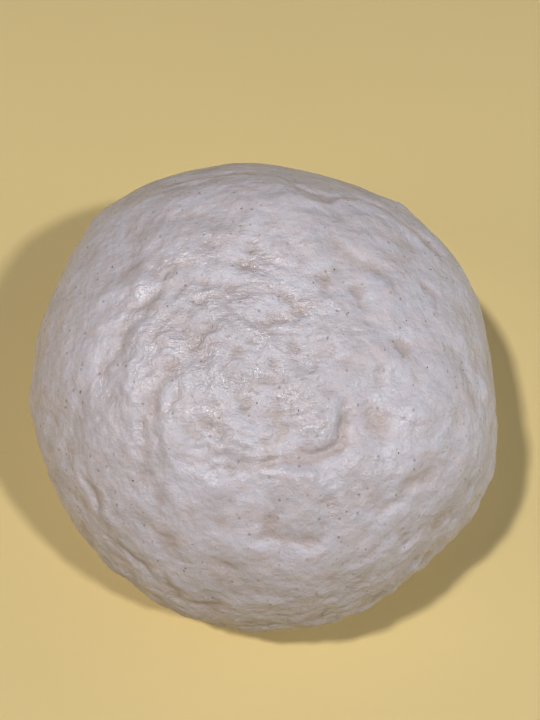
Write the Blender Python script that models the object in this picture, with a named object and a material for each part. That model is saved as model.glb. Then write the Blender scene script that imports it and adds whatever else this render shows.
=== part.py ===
"""A ball of raw bread dough, kneaded, rounded by hand and sagging a little under its own weight.

The skin is stretched over the crown and tucked under the ball. Pulling it tight has drawn it into
uneven lumps and faint rings round the spot where it was gathered, and into folds and pinches.

Lengths are in millimetres, and MM turns them into metres where the mesh is written. +X is the
ball's right, +Y its far side and +Z up. The dough rests on z = 0, centred on the Z axis.

Places on the skin are (x, y) pairs on its chart: the distance from the crown along the skin,
laid out in the direction in which it runs. The widest section lies about 108 mm from the crown.
"""

from typing import NamedTuple

import bmesh
import bpy
import numpy as np
from mathutils import noise

MM = 0.001

# The smooth ball
WIDTH = 138.0  # across the widest section
HEIGHT = 77.0  # from the foot to the crown
GIRTH_HEIGHT = 24.0  # where the ball is widest
TUCK_DEPTH = 41.0  # depth of the rounded under side, before it is pressed flat
SHOULDER = 0.04  # share by which the dome is fuller than an ellipse, half-way down

# A broad rise of the crown towards the far side, flat on top and steep beyond its edge
BROW_TOWARDS = 78.0  # degrees from +X, counter-clockwise
BROW_SPREAD = 50.0  # degrees to each side
BROW_EDGE = 33.0  # how far out from the crown it is highest
BROW_RISE = 4.5
BROW_INNER_WIDTH = 18.0
BROW_OUTER_WIDTH = 14.0

# Fine faces before they are thinned out, and how many are kept
SPHERE_SUBDIVISIONS = 7
CROWN_CROWDING = 0.25  # how much closer together the points lie near the crown
FACES_KEPT = 10800
FOOT_SNAP = 0.3  # points this near the foot's plane are moved onto it, which leaves no slivers

# The spot where the skin was gathered, and the rings round it
GATHER = (-2.0, -18.0)
GATHER_RADIUS = 9.0  # inside it nothing follows the rings any more
RING_SWAY = 9.0  # how far the rings wander off true circles
SWAY_SIZE = 22.0
SWAY_SEED = 50.0
VALLEY_ROUNDING = 0.10  # how blunt the narrow valleys between the wrinkles are
VALLEY_LEVEL = 0.25  # keeps the mean of the wrinkles near the smooth ball

# Uneven lumps, each size half the last, a little drawn out along the rings
LUMP_SIZE = 11.0
LUMP_RING_SIZE = 26.0
LUMP_HEIGHT = 1.25
LUMP_SIZES = 3
LUMP_SEED = 3.1

# The ring wrinkles are strong in some patches and faint in others
PATCH_SIZE = 12.0
PATCH_LEVEL = 0.6  # their usual strength
PATCHINESS = 3.0
PATCH_SEED = 70.0

# Short crinkles in the gathered disc, longer from side to side than from near to far
CRINKLE_SIZE = (7.5, 3.6)
CRINKLE_HEIGHT = 1.2
CRINKLE_SEED = 8.4
CRINKLE_FULL = 18.0  # they are full height this far out from the gathering spot
CRINKLE_END = 36.0

# The skin is drawn tighter towards the rim, most of all on the far side, and is smooth under the ball
RIM_CALM = 0.55  # share of the wrinkles' height that is lost at the rim
FAR_CALM = 0.45  # how much larger that share is on the far side, and smaller on the near side
RIM_CALM_START = 0.20  # radians from the crown
RIM_CALM_END = 0.95
RELIEF_FADE_START = 1.75
RELIEF_FADE_END = 2.30

DOUGH_COLOR = (0.640, 0.580, 0.585, 1.0)
DOUGH_ROUGHNESS = 0.45
DOUGH_SPECULAR = 0.5


class Wave(NamedTuple):
    """A wave in the outline: how many crests, their share of the radius, where one of them is."""

    crests: int
    share: float
    crest_at: float  # degrees from +X, counter-clockwise


class Swell(NamedTuple):
    """A round bulge, or with a negative height a hollow."""

    x: float
    y: float
    radius: float
    height: float


class Fold(NamedTuple):
    """A crease from (x, y) to (to_x, to_y), with a raised lip on its left, or on its right if negative."""

    x: float
    y: float
    to_x: float
    to_y: float
    bow: float  # how far its middle stands off to the left of the straight line
    width: float
    depth: float
    lip: float = 0.0


class Wrinkles(NamedTuple):
    """Noise of one size, drawn out along the rings round the gathering spot."""

    along: float
    across: float
    height: float
    seed: float


OUTLINE = (
    Wave(crests=2, share=0.0234, crest_at=-60.7),
    Wave(crests=3, share=0.0113, crest_at=16.4),
    Wave(crests=4, share=0.0083, crest_at=39.3),
    Wave(crests=5, share=0.0094, crest_at=-26.4),
    Wave(crests=6, share=0.0046, crest_at=-28.3),
    Wave(crests=7, share=0.0064, crest_at=-22.6),
    Wave(crests=8, share=0.0020, crest_at=14.9),
    Wave(crests=9, share=0.0039, crest_at=14.0),
)

SWELLS = (
    # the knob inside the pinch and the hollows and bulges round it
    Swell(12.5, -29, 4.5, 1.3),
    Swell(27, -29, 4.4, -1.0),
    Swell(28, -38, 4.5, 0.8),
    Swell(9, -44, 6.0, 0.9),
    # crown
    Swell(-4, -27, 3.2, -1.2),
    Swell(-9, -21, 4.0, 0.5),
    Swell(25, -15, 4.0, 0.6),
    Swell(36, -9, 4.0, -1.2),
    Swell(-10, 33, 9.0, 0.8),
    # left shoulder and side
    Swell(-30, 10, 6.0, 0.63),
    Swell(-44, -3, 5.5, 0.49),
    Swell(-33, -21, 5.5, 0.56),
    Swell(-41, -36, 6.0, 0.49),
    Swell(-21, -38, 5.0, 0.42),
    Swell(-54, 34, 6.0, 0.56),
    Swell(-59, -38, 5.0, -0.77),
    # near side
    Swell(-21, -54, 6.0, 0.49),
    Swell(-27, -62, 5.0, -0.70),
    Swell(-47, -58, 6.0, 0.63),
    Swell(-40, -84, 6.0, 0.63),
    Swell(7, -68, 6.0, 0.77),
    Swell(46, -73, 6.0, 0.63),
    Swell(0, -57, 4.0, -0.56),
    # right side
    Swell(57, -45, 6.0, 0.70),
    Swell(59, -2, 4.6, 1.2),
    Swell(69, -15, 4.0, 0.7),
    Swell(36, 30, 6.0, 0.49),
    # bumps and dents round the rim, counter-clockwise from the far right
    Swell(46.5, 53, 4.5, 1.2),
    Swell(31, 55, 5.0, -0.6),
    Swell(-18, 62, 5.0, -0.6),
    Swell(-54, 49, 5.5, 0.9),
    Swell(-82, 2, 8.0, -1.0),
    Swell(-92, -15, 6.5, 0.8),
    Swell(-87, -50, 8.0, -1.4),
    Swell(-83, -64, 5.0, 0.5),
    Swell(-70, -70, 6.0, -1.2),
    Swell(-67, -80, 5.0, 0.7),
    Swell(-25, -105, 6.0, 0.7),
    Swell(42, -96, 8.0, -1.4),
    Swell(57, -84, 5.5, 0.7),
    Swell(64, -77, 5.0, -0.9),
)

FOLDS = (
    # creases where the far slope turns down
    Fold(6, 41, 24, 39, bow=-4.7, width=2.6, depth=1.00, lip=-0.50),
    Fold(22, 40, 42, 35, bow=3.0, width=3.0, depth=1.25, lip=-0.60),
    Fold(38, 37, 56, 26, bow=1.6, width=3.0, depth=1.10, lip=-0.65),
    Fold(-31, 48, 3, 47, bow=1.0, width=2.6, depth=0.85, lip=-0.40),
    Fold(-32, 43, -17, 40, bow=1.3, width=2.0, depth=0.36),
    # right shoulder
    Fold(21, 18, 35, 10, bow=-1.6, width=2.4, depth=0.68, lip=0.23),
    Fold(23, 25, 30, 19, bow=0.4, width=1.9, depth=0.41),
    Fold(14, 7, 20, 2, bow=-0.4, width=2.0, depth=0.54),
    Fold(43, 12, 51, 6, bow=1.6, width=1.8, depth=0.41, lip=0.18),
    Fold(25, -5, 30, -24, bow=-0.6, width=2.6, depth=0.50),
    Fold(59, -8, 63, -22, bow=-0.8, width=2.2, depth=0.55),
    # left shoulder
    Fold(-21, 7, -37, -3, bow=-1.6, width=2.7, depth=0.68, lip=-0.18),
    Fold(-35, -1, -48, -16, bow=2.2, width=2.4, depth=0.54, lip=-0.14),
    Fold(-15, 0, -27, -15, bow=-6.5, width=2.0, depth=0.41),
    Fold(-11, -3, -23, -8, bow=2.5, width=1.9, depth=0.36),
    Fold(-28, -20, -27, -37, bow=-0.7, width=1.9, depth=0.54, lip=0.18),
    Fold(-26, -46, -29, -58, bow=-0.4, width=1.9, depth=0.36),
    # crown
    Fold(-10, -14, 0, -12, bow=0.9, width=1.6, depth=0.50, lip=-0.19),
    Fold(1, -14, 5, -22, bow=1.0, width=1.6, depth=0.56),
    Fold(-15, -29, -4, -33, bow=-2.0, width=1.9, depth=0.56, lip=-0.25),
    Fold(2, -28, 5, -36, bow=1.0, width=1.8, depth=0.62),
    # the pinch, which curls round two sides of the knob
    Fold(18, -22, 20, -34, bow=0.7, width=2.2, depth=1.20, lip=0.20),
    Fold(21, -31, 10, -39, bow=1.9, width=2.7, depth=1.36, lip=0.31),
    Fold(13, -38, -1, -39, bow=0.6, width=2.2, depth=0.90, lip=0.31),
    # near side, left
    Fold(-57, -43, -51, -58, bow=2.6, width=2.3, depth=0.59, lip=-0.18),
    Fold(-47, -51, -41, -60, bow=-0.5, width=2.2, depth=0.50, lip=-0.18),
    Fold(-49, -66, -36, -78, bow=0.8, width=2.3, depth=0.59, lip=-0.27),
    Fold(-70, -76, -50, -96, bow=0.8, width=2.7, depth=0.54, lip=0.23),
    Fold(-33, -74, -30, -90, bow=1.0, width=2.3, depth=0.50, lip=0.18),
    Fold(-31, -89, -13, -88, bow=-1.8, width=2.3, depth=0.36, lip=0.18),
    Fold(-13, -67, -4, -71, bow=-0.4, width=1.9, depth=0.41),
    # near side, right
    Fold(50, -38, 31, -53, bow=0.8, width=3.2, depth=0.59, lip=0.14),
    Fold(-4, -60, 17, -62, bow=1.0, width=2.3, depth=0.63, lip=-0.23),
    Fold(22, -68, 37, -64, bow=-1.4, width=2.7, depth=0.45),
)

WRINKLES = (
    Wrinkles(along=14.0, across=5.5, height=0.26, seed=17.7),
    Wrinkles(along=8.0, across=3.0, height=0.15, seed=31.3),
)


def clear_scene():
    """Empties the scene, so that the dough is all it holds."""
    for leftover in list(bpy.data.objects):
        bpy.data.objects.remove(leftover, do_unlink=True)


def smooth_step(low, high, value):
    """0 below low and 1 above high, with an S-shaped rise between them."""
    rise = np.clip((value - low) / (high - low), 0.0, 1.0)
    return rise * rise * (3.0 - 2.0 * rise)


def noise_at(*coordinates):
    """Smooth noise from -1 to 1 at each point."""
    points = np.stack(coordinates, axis=-1).tolist()
    return np.array([noise.noise(point) for point in points])


def smooth_ball(polar, around):
    """Points of the ball without its folds, from the angle off the crown and the angle round it."""
    upper = polar < np.pi / 2
    fullness = np.where(upper, 1.0 + SHOULDER * np.sin(2.0 * polar) ** 2, 1.0)
    outline = 1.0 + sum(
        wave.share * np.cos(wave.crests * (around - np.radians(wave.crest_at)))
        for wave in OUTLINE
    )
    radius = WIDTH / 2 * np.sin(polar) * fullness * outline
    reach = np.where(upper, (HEIGHT - GIRTH_HEIGHT) * fullness, TUCK_DEPTH)
    height = GIRTH_HEIGHT + reach * np.cos(polar)
    return np.stack([radius * np.cos(around), radius * np.sin(around), height], axis=-1)


def outward(polar, around):
    """The direction in which the skin faces, as a unit vector."""
    reach = np.where(polar < np.pi / 2, HEIGHT - GIRTH_HEIGHT, TUCK_DEPTH)
    flat = np.sin(polar) / (WIDTH / 2)
    facing = np.stack([flat * np.cos(around), flat * np.sin(around), np.cos(polar) / reach], axis=-1)
    return facing / np.linalg.norm(facing, axis=-1, keepdims=True)


def swell_relief(swell, x, y):
    """Height that a bulge adds at each place on the chart."""
    distance = np.hypot(x - swell.x, y - swell.y)
    return swell.height * np.exp(-((distance / swell.radius) ** 2))


def fold_relief(fold, x, y):
    """Height that a crease and its lip add at each place on the chart."""
    half = np.array([fold.to_x - fold.x, fold.to_y - fold.y]) / 2
    half_length = np.hypot(*half)
    run_x, run_y = half / half_length
    from_x = x - (fold.x + fold.to_x) / 2
    from_y = y - (fold.y + fold.to_y) / 2
    along = (from_x * run_x + from_y * run_y) / half_length
    left = from_y * run_x - from_x * run_y - fold.bow * (1.0 - along**2)
    taper = 1.0 - smooth_step(0.35, 1.25, np.abs(along))
    groove = np.exp(-((left / fold.width) ** 2))
    beyond = left * np.sign(fold.lip) / fold.width - 1.7
    lip = np.exp(-((beyond / 1.1) ** 2))
    return taper * (abs(fold.lip) * lip - fold.depth * groove)


def brow_relief(x, y):
    """Height that the broad rise adds at each place on the chart."""
    beyond = np.hypot(x, y) - BROW_EDGE
    width = np.where(beyond < 0.0, BROW_INNER_WIDTH, BROW_OUTER_WIDTH)
    turned = np.arctan2(y, x) - np.radians(BROW_TOWARDS)
    aside = np.degrees(np.angle(np.exp(1j * turned)))
    return BROW_RISE * np.exp(-((aside / BROW_SPREAD) ** 2) - (beyond / width) ** 2)


def narrow_valleys(waves):
    """Turns even waves into round backs with narrow valleys between them."""
    return np.sqrt(waves**2 + VALLEY_ROUNDING**2) - VALLEY_LEVEL


def swayed(x, y, seed):
    """Places on the chart seen from the gathering spot, shifted so that no ring is a true circle."""
    seeds = np.full_like(x, seed)
    shift_x = noise_at(x / SWAY_SIZE, y / SWAY_SIZE, seeds)
    shift_y = noise_at(x / SWAY_SIZE, y / SWAY_SIZE, seeds + SWAY_SEED)
    return x - GATHER[0] + RING_SWAY * shift_x, y - GATHER[1] + RING_SWAY * shift_y


def ring_at(from_x, from_y):
    """The ring on which each place lies, seen from the gathering spot."""
    return np.sqrt(from_x**2 + from_y**2 + GATHER_RADIUS**2)


def wrinkle_relief(wrinkles, x, y):
    """Wrinkles of one size, drawn out along the rings and strong in patches."""
    from_x, from_y = swayed(x, y, wrinkles.seed)
    ring = ring_at(from_x, from_y)
    waves = noise_at(
        from_x / wrinkles.along,
        from_y / wrinkles.along,
        ring / wrinkles.across + wrinkles.seed,
    )
    patches = noise_at(x / PATCH_SIZE, y / PATCH_SIZE, np.full_like(x, wrinkles.seed + PATCH_SEED))
    strength = np.clip(PATCH_LEVEL + PATCHINESS * patches, 0.0, None)
    return wrinkles.height * strength * narrow_valleys(waves)


def lump_relief(x, y):
    """Uneven lumps of several sizes."""
    ring = ring_at(*swayed(x, y, LUMP_SEED))
    places = np.stack([x / LUMP_SIZE, y / LUMP_SIZE, ring / LUMP_RING_SIZE + LUMP_SEED], axis=-1)
    return LUMP_HEIGHT * np.array([noise.fractal(place, 1.0, 2.0, LUMP_SIZES) for place in places.tolist()])


def crinkle_relief(x, y):
    """Short crinkles that fade out towards the edge of the gathered disc."""
    from_x, from_y = swayed(x, y, CRINKLE_SEED)
    strength = 1.0 - smooth_step(CRINKLE_FULL, CRINKLE_END, np.hypot(from_x, from_y))
    across, depth = CRINKLE_SIZE
    waves = noise_at(from_x / across, from_y / depth, np.full_like(x, CRINKLE_SEED))
    return CRINKLE_HEIGHT * strength * narrow_valleys(waves)


def skin_relief(polar, around):
    """How far the skin stands out from the smooth ball, folds and wrinkles together."""
    x = WIDTH / 2 * polar * np.cos(around)
    y = WIDTH / 2 * polar * np.sin(around)
    calm = RIM_CALM * (1.0 + FAR_CALM * np.sin(around))
    tightness = 1.0 - calm * smooth_step(RIM_CALM_START, RIM_CALM_END, polar)
    wrinkled = lump_relief(x, y) + crinkle_relief(x, y)
    wrinkled += sum(wrinkle_relief(size, x, y) for size in WRINKLES)
    folded = sum(fold_relief(fold, x, y) for fold in FOLDS)
    swollen = brow_relief(x, y) + sum(swell_relief(swell, x, y) for swell in SWELLS)
    fade = 1.0 - smooth_step(RELIEF_FADE_START, RELIEF_FADE_END, polar)
    return fade * (wrinkled * tightness + folded + swollen)


def skin_points(directions):
    """Moves the points of a unit sphere onto the dough's skin, with its under side still rounded."""
    even_polar = np.arccos(np.clip(directions[:, 2], -1.0, 1.0))
    polar = even_polar - CROWN_CROWDING * np.sin(even_polar)
    around = np.arctan2(directions[:, 1], directions[:, 0])
    relief = skin_relief(polar, around)
    return smooth_ball(polar, around) + outward(polar, around) * relief[:, None]


def skin_mesh():
    """The whole skin, finely faced."""
    shape = bmesh.new()
    bmesh.ops.create_icosphere(shape, subdivisions=SPHERE_SUBDIVISIONS, radius=1.0)
    directions = np.array([vertex.co for vertex in shape.verts])
    for vertex, point in zip(shape.verts, skin_points(directions) * MM):
        vertex.co = point
    mesh = bpy.data.meshes.new("dough_skin")
    shape.to_mesh(mesh)
    shape.free()
    return mesh


def thin_out(obj, faces):
    """Replaces the object's mesh by one of fewer faces, kept where the skin bends most."""
    thinner = obj.modifiers.new("fewer faces", "DECIMATE")
    thinner.ratio = faces / len(obj.data.polygons)
    bpy.context.view_layer.update()
    mesh = bpy.data.meshes.new_from_object(obj.evaluated_get(bpy.context.evaluated_depsgraph_get()))
    obj.modifiers.clear()
    obj.data = mesh


def press_flat(shape):
    """Cuts the rounded under side off level at z = 0 and closes it with the flat foot."""
    for vertex in shape.verts:
        if abs(vertex.co.z) < FOOT_SNAP * MM:
            vertex.co.z = 0.0
    everything = shape.verts[:] + shape.edges[:] + shape.faces[:]
    cut = bmesh.ops.bisect_plane(
        shape, geom=everything, dist=1e-7, plane_co=(0, 0, 0), plane_no=(0, 0, 1), clear_inner=True
    )
    rim = [edge for edge in cut["geom_cut"] if isinstance(edge, bmesh.types.BMEdge)]
    foot = bmesh.ops.edgeloop_fill(shape, edges=rim)["faces"]
    bmesh.ops.triangulate(shape, faces=foot)
    bmesh.ops.recalc_face_normals(shape, faces=shape.faces)


def centre(shape):
    """Moves the shape sideways until the middle of its bounding box is on the Z axis."""
    points = np.array([vertex.co for vertex in shape.verts])
    middle = (points.min(axis=0) + points.max(axis=0)) / 2
    bmesh.ops.translate(shape, vec=(-middle[0], -middle[1], 0.0), verts=shape.verts)


def stand_on_foot(mesh):
    """Gives the mesh its flat foot on z = 0, centred on the Z axis."""
    shape = bmesh.new()
    shape.from_mesh(mesh)
    press_flat(shape)
    centre(shape)
    shape.to_mesh(mesh)
    shape.free()


def dough_material():
    """Pale, faintly pinkish grey with a moist, satin skin."""
    material = bpy.data.materials.new("raw dough")
    material.use_nodes = True
    shader = material.node_tree.nodes["Principled BSDF"]
    shader.inputs["Base Color"].default_value = DOUGH_COLOR
    shader.inputs["Roughness"].default_value = DOUGH_ROUGHNESS
    shader.inputs["Specular IOR Level"].default_value = DOUGH_SPECULAR
    shader.inputs["Metallic"].default_value = 0.0
    return material


def make_dough_ball():
    """Makes the ball in its own collection, standing on z = 0."""
    collection = bpy.data.collections.new("dough")
    bpy.context.scene.collection.children.link(collection)
    ball = bpy.data.objects.new("dough_ball", skin_mesh())
    collection.objects.link(ball)
    thin_out(ball, FACES_KEPT)
    stand_on_foot(ball.data)
    ball.data.shade_smooth()
    ball.data.materials.append(dough_material())
    return ball


clear_scene()
make_dough_ball()
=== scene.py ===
"""The looks of a ball of raw bread dough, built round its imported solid.

The solid gives the ball its place and its box. Here the same form gets its fine wrinkles, its
moist, slightly see-through skin and the flecks of bran in it, on a plain floor in soft light.

Lengths on the dough are in millimetres, as a baker would measure them, and MM turns them into the
frame's metres. Places on the skin are (x, y) pairs on its chart: the distance from the crown along
the skin, laid out in the direction in which it runs.
"""

import logging
import math
from dataclasses import dataclass
from enum import Enum
from typing import Any

import bmesh
import bpy
import numpy as np
from mathutils import Euler, Matrix, Vector, noise


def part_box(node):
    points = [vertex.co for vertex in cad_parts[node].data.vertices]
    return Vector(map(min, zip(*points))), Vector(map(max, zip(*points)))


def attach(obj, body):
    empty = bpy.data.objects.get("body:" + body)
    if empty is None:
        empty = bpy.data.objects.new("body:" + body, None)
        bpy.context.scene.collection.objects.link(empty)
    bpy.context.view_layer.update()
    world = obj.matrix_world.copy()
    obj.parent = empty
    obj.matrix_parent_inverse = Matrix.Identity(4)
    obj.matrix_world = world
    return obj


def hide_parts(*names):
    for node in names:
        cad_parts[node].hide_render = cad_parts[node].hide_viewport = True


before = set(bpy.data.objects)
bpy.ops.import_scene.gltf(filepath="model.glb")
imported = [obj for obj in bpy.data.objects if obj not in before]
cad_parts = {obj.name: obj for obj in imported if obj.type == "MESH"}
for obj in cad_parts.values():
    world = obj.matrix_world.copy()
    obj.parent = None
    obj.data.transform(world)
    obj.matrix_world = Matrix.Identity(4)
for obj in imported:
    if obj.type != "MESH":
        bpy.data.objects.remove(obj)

MM = 0.001
LOG = logging.getLogger("dough")

Array = np.ndarray
Color = tuple[float, float, float, float]
Socket = bpy.types.NodeSocket


class Part(Enum):
    """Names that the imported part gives."""

    BODY = "root"
    SOLID = "dough_ball"
    SLOT = "dough"


class Piece(Enum):
    """Names of the pieces made here."""

    SKIN = "dough_skin"
    FLECKS = "bran_flecks"
    FLOOR = "floor"


# ---------------------------------------------------------------- form


def smooth_step(low: float, high: float, value: Array) -> Array:
    """An S-shaped rise.

    Args:
        low: The value at which the rise starts.
        high: The value at which it ends.
        value: Where to read it.

    Returns:
        0 below low, 1 above high.
    """
    rise = np.clip((value - low) / (high - low), 0.0, 1.0)
    return rise * rise * (3.0 - 2.0 * rise)


def noise_at(*coordinates: Array) -> Array:
    """Smooth noise.

    Args:
        coordinates: Three arrays, one for each axis.

    Returns:
        A value from -1 to 1 at each point.
    """
    points = np.stack(coordinates, axis=-1).tolist()
    return np.array([noise.noise(point) for point in points])


def narrow_valleys(waves: Array, rounding: float = 0.10, level: float = 0.25) -> Array:
    """Turns even waves into round backs with narrow valleys between them.

    Args:
        waves: Noise round zero.
        rounding: How blunt the valleys are.
        level: Keeps the mean near zero.

    Returns:
        The folded waves.
    """
    return np.sqrt(waves**2 + rounding**2) - level


@dataclass(frozen=True)
class OutlineWave:
    """A wave in the outline: its crests, their share of the radius, and the angle of one of them."""

    crests: int
    share: float
    crest_at: float

    def reach(self, around: Array) -> Array:
        """Share of the radius that it adds at each angle."""
        return self.share * np.cos(self.crests * (around - math.radians(self.crest_at)))


@dataclass(frozen=True)
class Swell:
    """A round bulge, or with a negative height a hollow."""

    x: float
    y: float
    radius: float
    height: float

    def relief(self, x: Array, y: Array) -> Array:
        """Height that it adds at each place on the chart."""
        distance = np.hypot(x - self.x, y - self.y)
        return self.height * np.exp(-((distance / self.radius) ** 2))


@dataclass(frozen=True)
class Fold:
    """A crease from (x, y) to (to_x, to_y), with a raised lip on its left, or if negative on its right.

    It fades out between the shares of its half-length in FADE, and LIP_AT and LIP_WIDTH are in its widths.
    """

    x: float
    y: float
    to_x: float
    to_y: float
    bow: float
    width: float
    depth: float
    lip: float = 0.0

    FADE = (0.35, 1.25)
    LIP_AT = 1.7
    LIP_WIDTH = 1.1

    def relief(self, x: Array, y: Array) -> Array:
        """Height that the crease and its lip add.

        Args:
            x, y: Places on the chart.

        Returns:
            The height at each place.
        """
        half = np.array([self.to_x - self.x, self.to_y - self.y]) / 2
        half_length = np.hypot(*half)
        run_x, run_y = half / half_length
        from_x = x - (self.x + self.to_x) / 2
        from_y = y - (self.y + self.to_y) / 2
        along = (from_x * run_x + from_y * run_y) / half_length
        left = from_y * run_x - from_x * run_y - self.bow * (1.0 - along**2)
        taper = 1.0 - smooth_step(*self.FADE, np.abs(along))
        groove = np.exp(-((left / self.width) ** 2))
        beyond = left * np.sign(self.lip) / self.width - self.LIP_AT
        lip = np.exp(-((beyond / self.LIP_WIDTH) ** 2))
        return taper * (abs(self.lip) * lip - self.depth * groove)


@dataclass(frozen=True)
class Brow:
    """A broad rise of the crown towards one side, flat on top and steep beyond its edge.

    Attributes:
        towards: The side, as an angle round the crown, in degrees.
        spread: How far it reaches round the crown, in degrees.
        edge: How far from the crown its edge runs.
        inner_width, outer_width: How softly it starts and ends.
    """

    towards: float = 78.0
    spread: float = 50.0
    edge: float = 33.0
    rise: float = 4.5
    inner_width: float = 18.0
    outer_width: float = 14.0

    def relief(self, x: Array, y: Array) -> Array:
        """Height that it adds.

        Args:
            x, y: Places on the chart.

        Returns:
            The height at each place.
        """
        beyond = np.hypot(x, y) - self.edge
        width = np.where(beyond < 0.0, self.inner_width, self.outer_width)
        aside = np.degrees(np.angle(np.exp(1j * (np.arctan2(y, x) - math.radians(self.towards)))))
        return self.rise * np.exp(-((aside / self.spread) ** 2) - (beyond / width) ** 2)


@dataclass(frozen=True)
class Gathering:
    """The spot where the skin was drawn together, and the rings round it.

    Attributes:
        x, y: The spot, on the chart.
        blunt_radius: Within this distance the rings run together.
        sway, sway_size: How far the rings wander, and how far apart their turns are.
        sway_seed: Sets the two directions of the wandering apart.
    """

    x: float = -2.0
    y: float = -18.0
    blunt_radius: float = 9.0
    sway: float = 9.0
    sway_size: float = 22.0
    sway_seed: float = 50.0

    def swayed(self, x: Array, y: Array, seed: float) -> tuple[Array, Array, Array]:
        """Places seen from the spot, shifted so that no ring is a true circle.

        Args:
            x, y: Places on the chart.
            seed: Chooses how the rings wander.

        Returns:
            The two shifted distances from the spot, and the ring on which each place lies.
        """
        seeds = np.full_like(x, seed)
        shift_x = noise_at(x / self.sway_size, y / self.sway_size, seeds)
        shift_y = noise_at(x / self.sway_size, y / self.sway_size, seeds + self.sway_seed)
        from_x = x - self.x + self.sway * shift_x
        from_y = y - self.y + self.sway * shift_y
        return from_x, from_y, np.sqrt(from_x**2 + from_y**2 + self.blunt_radius**2)


@dataclass(frozen=True)
class RingWrinkles:
    """Wrinkles of one size, drawn out along the rings.

    Attributes:
        along, across: Their sizes along and across the rings.
        patchiness: How much their strength differs from patch to patch.
    """

    along: float
    across: float
    height: float
    seed: float
    patchiness: float = 3.0
    patch_size: float = 12.0

    MEAN_STRENGTH = 0.6
    PATCH_SEED = 70.0

    def relief(self, x: Array, y: Array, gathering: Gathering) -> Array:
        """Height that the wrinkles add, strong in some patches and faint in others.

        Args:
            x, y: Places on the chart.
            gathering: The spot that they ring.

        Returns:
            The height at each place.
        """
        from_x, from_y, ring = gathering.swayed(x, y, self.seed)
        waves = noise_at(from_x / self.along, from_y / self.along, ring / self.across + self.seed)
        patch_seeds = np.full_like(x, self.seed + self.PATCH_SEED)
        patches = noise_at(x / self.patch_size, y / self.patch_size, patch_seeds)
        strength = np.clip(self.MEAN_STRENGTH + self.patchiness * patches, 0.0, None)
        return self.height * strength * narrow_valleys(waves)


@dataclass(frozen=True)
class Lumps:
    """Uneven lumps of many sizes, each half as big as the last, a little drawn out along the rings."""

    along: float = 11.0
    across: float = 26.0
    height: float = 1.25
    sizes: int = 5
    seed: float = 3.1

    FALLOFF = 1.0
    TIMES_FINER = 2.0

    def relief(self, x: Array, y: Array, gathering: Gathering) -> Array:
        """Height that the lumps add.

        Args:
            x, y: Places on the chart.
            gathering: The spot that they ring.

        Returns:
            The height at each place.
        """
        _, _, ring = gathering.swayed(x, y, self.seed)
        places = np.stack([x / self.along, y / self.along, ring / self.across + self.seed], axis=-1)
        sizes = (self.FALLOFF, self.TIMES_FINER, self.sizes)
        return self.height * np.array([noise.fractal(place, *sizes) for place in places.tolist()])


@dataclass(frozen=True)
class Crinkles:
    """Short crinkles in the gathered disc, longer from side to side than from near to far.

    Attributes:
        full, end: Distances from the spot up to which they are full, and at which they end.
    """

    size_x: float
    size_y: float
    height: float
    seed: float
    full: float = 18.0
    end: float = 36.0

    def relief(self, x: Array, y: Array, gathering: Gathering) -> Array:
        """Height that the crinkles add.

        Args:
            x, y: Places on the chart.
            gathering: The spot that they surround.

        Returns:
            The height at each place.
        """
        from_x, from_y, _ = gathering.swayed(x, y, self.seed)
        strength = 1.0 - smooth_step(self.full, self.end, np.hypot(from_x, from_y))
        waves = noise_at(from_x / self.size_x, from_y / self.size_y, np.full_like(x, self.seed))
        return self.height * strength * narrow_valleys(waves)


OUTLINE = (
    OutlineWave(crests=2, share=0.0234, crest_at=-60.7),
    OutlineWave(crests=3, share=0.0113, crest_at=16.4),
    OutlineWave(crests=4, share=0.0083, crest_at=39.3),
    OutlineWave(crests=5, share=0.0094, crest_at=-26.4),
    OutlineWave(crests=6, share=0.0046, crest_at=-28.3),
    OutlineWave(crests=7, share=0.0064, crest_at=-22.6),
    OutlineWave(crests=8, share=0.0020, crest_at=14.9),
    OutlineWave(crests=9, share=0.0039, crest_at=14.0),
)

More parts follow.
